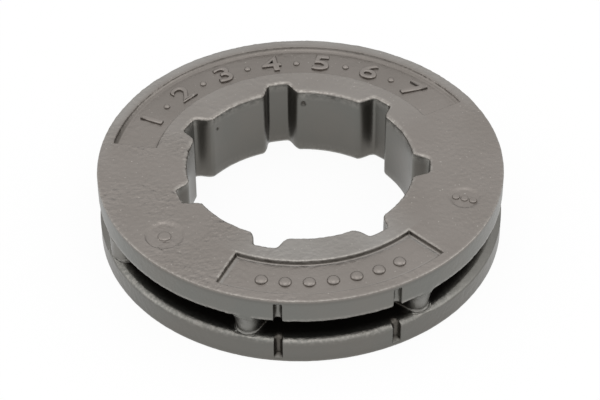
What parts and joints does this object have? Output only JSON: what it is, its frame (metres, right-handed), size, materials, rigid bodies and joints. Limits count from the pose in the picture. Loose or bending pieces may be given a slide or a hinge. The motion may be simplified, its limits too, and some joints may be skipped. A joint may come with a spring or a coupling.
{
  "type": "chainsaw rim sprocket",
  "caption": "Flanged steel rim sprocket with round-nosed teeth in a groove between two flanges and a splined bore that slides on a clutch drum hub to drive a saw chain.",
  "frame": {"origin": "centre of the lower face, on the bore axis", "axes": "+Z along the bore axis towards the face with the marking panels, -Y towards the pocket with the wear notches"},
  "size_m": [0.0354, 0.0354, 0.007],
  "materials": {
    "cast_steel": "matte as-cast, heat-treated grey"
  },
  "bodies": {
    "root": {"rim_sprocket": "cast_steel"}
  },
  "joints": []
}
